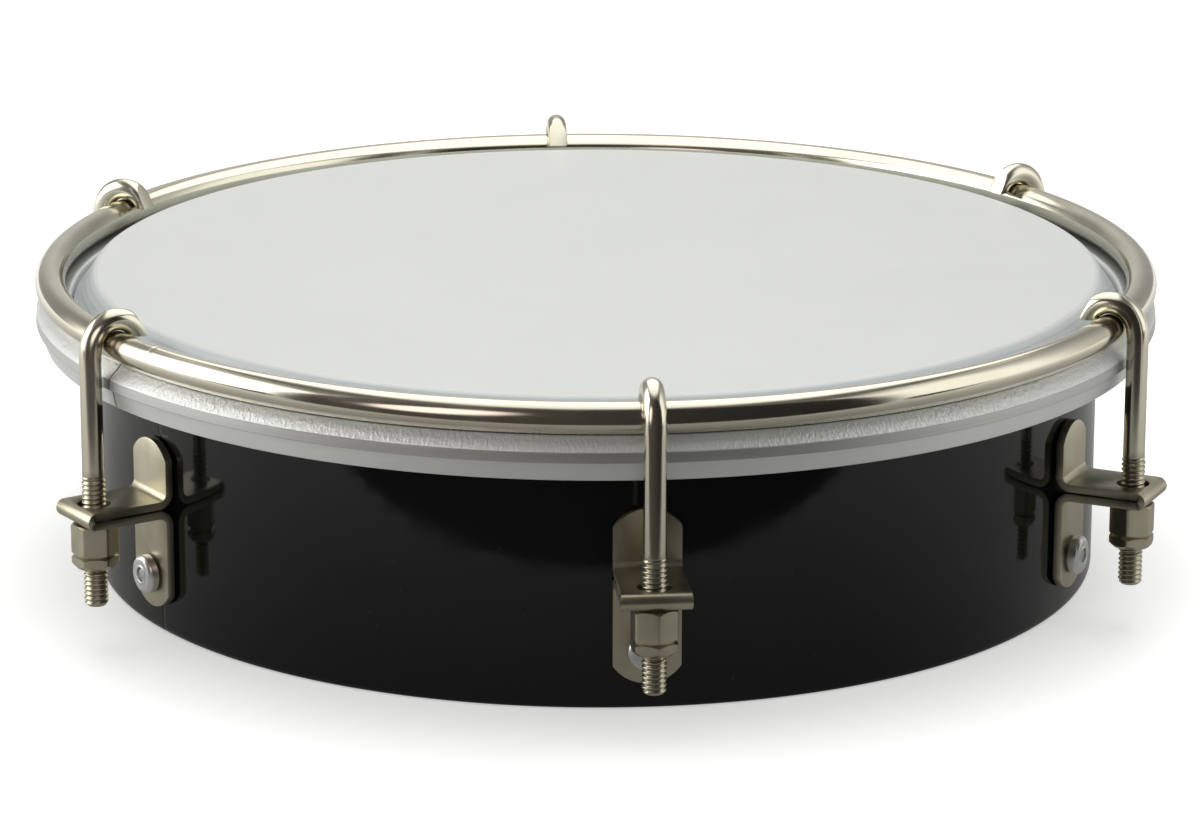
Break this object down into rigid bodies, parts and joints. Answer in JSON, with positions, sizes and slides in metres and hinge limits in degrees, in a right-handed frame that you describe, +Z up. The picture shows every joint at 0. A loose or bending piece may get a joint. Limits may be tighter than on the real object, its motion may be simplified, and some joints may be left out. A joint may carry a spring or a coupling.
{
  "type": "tamborim",
  "caption": "Small hand drum with a black metal shell, a white film head, a round counter hoop and J hooks that end in long nuts.",
  "frame": {"origin": "centre of the shell's lower edge, on the surface that the drum stands on", "axes": "+Z up through the middle of the head; -Y towards bracket 1, with the others at steps of about 60 degrees"},
  "size_m": [0.1644, 0.1752, 0.0485],
  "materials": {
    "black_paint": "gloss black paint on rolled steel sheet",
    "white_film": "frosted white polyester film",
    "aluminium": "bright, with rolling and scratch marks",
    "nickel": "warm, slightly uneven nickel plate on steel",
    "rivet_metal": "bright aluminium blind rivet",
    "mandrel_steel": "dull broken steel"
  },
  "bodies": {
    "drum": {"shell": "black_paint", "bracket_1": "nickel", "bracket_2": "nickel", "bracket_3": "nickel", "bracket_4": "nickel", "bracket_5": "nickel", "bracket_6": "nickel", "rivet_1": "rivet_metal", "rivet_2": "rivet_metal", "rivet_3": "rivet_metal", "rivet_4": "rivet_metal", "rivet_5": "rivet_metal", "rivet_6": "rivet_metal", "mandrel_1": "mandrel_steel", "mandrel_2": "mandrel_steel", "mandrel_3": "mandrel_steel", "mandrel_4": "mandrel_steel", "mandrel_5": "mandrel_steel", "mandrel_6": "mandrel_steel"},
    "rim": {"head_film": "white_film", "head_hoop": "aluminium", "counter_hoop": "nickel", "hook_1": "nickel", "hook_2": "nickel", "hook_3": "nickel", "hook_4": "nickel", "hook_5": "nickel", "hook_6": "nickel"},
    "tension_nut_1": {"nut_1": "nickel"},
    "tension_nut_2": {"nut_2": "nickel"},
    "tension_nut_3": {"nut_3": "nickel"},
    "tension_nut_4": {"nut_4": "nickel"},
    "tension_nut_5": {"nut_5": "nickel"},
    "tension_nut_6": {"nut_6": "nickel"}
  },
  "joints": [
    {"name": "rim_lift", "type": "slide", "parent": "drum", "child": "rim", "axis": [0, 0, 1], "range_m": [0, 0.0049]},
    {"name": "nut_1_turn", "type": "hinge", "parent": "drum", "child": "tension_nut_1", "pos_m": [0.00059, -0.08405, 0.0147], "axis": [0, 0, -1], "range_deg": [0, 2521]},
    {"name": "nut_2_turn", "type": "hinge", "parent": "drum", "child": "tension_nut_2", "pos_m": [0.07279, -0.04202, 0.0147], "axis": [0, 0, -1], "range_deg": [0, 2521]},
    {"name": "nut_3_turn", "type": "hinge", "parent": "drum", "child": "tension_nut_3", "pos_m": [0.07279, 0.04202, 0.0147], "axis": [0, 0, -1], "range_deg": [0, 2521]},
    {"name": "nut_4_turn", "type": "hinge", "parent": "drum", "child": "tension_nut_4", "pos_m": [0.00044, 0.08405, 0.0147], "axis": [0, 0, -1], "range_deg": [0, 2521]},
    {"name": "nut_5_turn", "type": "hinge", "parent": "drum", "child": "tension_nut_5", "pos_m": [-0.07279, 0.04202, 0.0147], "axis": [0, 0, -1], "range_deg": [0, 2521]},
    {"name": "nut_6_turn", "type": "hinge", "parent": "drum", "child": "tension_nut_6", "pos_m": [-0.07372, -0.04036, 0.0147], "axis": [0, 0, -1], "range_deg": [0, 2521]}
  ],
  "couplings": [
    {"joint": "nut_1_turn", "follows": "rim_lift", "rad_per_m": 8976},
    {"joint": "nut_2_turn", "follows": "rim_lift", "rad_per_m": 8976},
    {"joint": "nut_3_turn", "follows": "rim_lift", "rad_per_m": 8976},
    {"joint": "nut_4_turn", "follows": "rim_lift", "rad_per_m": 8976},
    {"joint": "nut_5_turn", "follows": "rim_lift", "rad_per_m": 8976},
    {"joint": "nut_6_turn", "follows": "rim_lift", "rad_per_m": 8976}
  ]
}
